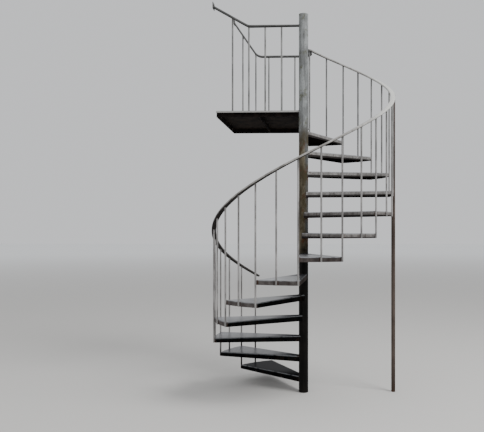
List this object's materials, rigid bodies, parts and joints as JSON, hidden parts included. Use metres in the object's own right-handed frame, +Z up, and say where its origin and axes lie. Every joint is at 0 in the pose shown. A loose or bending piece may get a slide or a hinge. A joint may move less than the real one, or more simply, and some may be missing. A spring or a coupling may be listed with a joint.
{
  "type": "spiral staircase",
  "caption": "Painted steel spiral staircase: wedge pan treads round a pole, thin balusters, a helical tube handrail and a railed landing at the top",
  "frame": {"origin": "centre of the pole's foot, at ground level", "axes": "+Z up along the pole; +Y along the landing's depth, away from the front rail; -X towards the building that the landing meets; the flight climbs anticlockwise seen from above"},
  "size_m": [1.7431, 2.0094, 3.915],
  "materials": {
    "pole_paint": "weathered grey paint with stains",
    "tread_paint": "worn grey paint with dirt and rust at the edges",
    "bar_paint": "weathered light grey paint",
    "rail_paint": "weathered light grey paint",
    "post_paint": "weathered brown-grey paint",
    "deck_paint": "worn grey paint",
    "frame_paint": "dark weathered paint"
  },
  "bodies": {
    "root": {"centre_pole": "pole_paint", "tread_01": "tread_paint", "tread_02": "tread_paint", "tread_03": "tread_paint", "tread_04": "tread_paint", "tread_05": "tread_paint", "tread_06": "tread_paint", "tread_07": "tread_paint", "tread_08": "tread_paint", "tread_09": "tread_paint", "tread_10": "tread_paint", "tread_11": "tread_paint", "tread_12": "tread_paint", "tread_13": "tread_paint", "balusters_01": "bar_paint", "balusters_02": "bar_paint", "balusters_03": "bar_paint", "balusters_04": "bar_paint", "balusters_05": "bar_paint", "balusters_06": "bar_paint", "balusters_07": "bar_paint", "balusters_08": "bar_paint", "balusters_09": "bar_paint", "balusters_10": "bar_paint", "balusters_11": "bar_paint", "balusters_12": "bar_paint", "balusters_13": "bar_paint", "handrail_1": "rail_paint", "handrail_2": "rail_paint", "handrail_3": "rail_paint", "handrail_4": "rail_paint", "handrail_5": "rail_paint", "handrail_6": "rail_paint", "support_post": "post_paint", "landing_deck": "deck_paint", "landing_edge_beams": "frame_paint", "landing_cross_beams": "frame_paint", "landing_wall_bar": "frame_paint", "front_rail": "rail_paint", "back_rail": "rail_paint", "front_rail_plate": "rail_paint", "back_rail_plate": "rail_paint", "front_balusters": "bar_paint", "back_balusters": "bar_paint"}
  },
  "joints": []
}
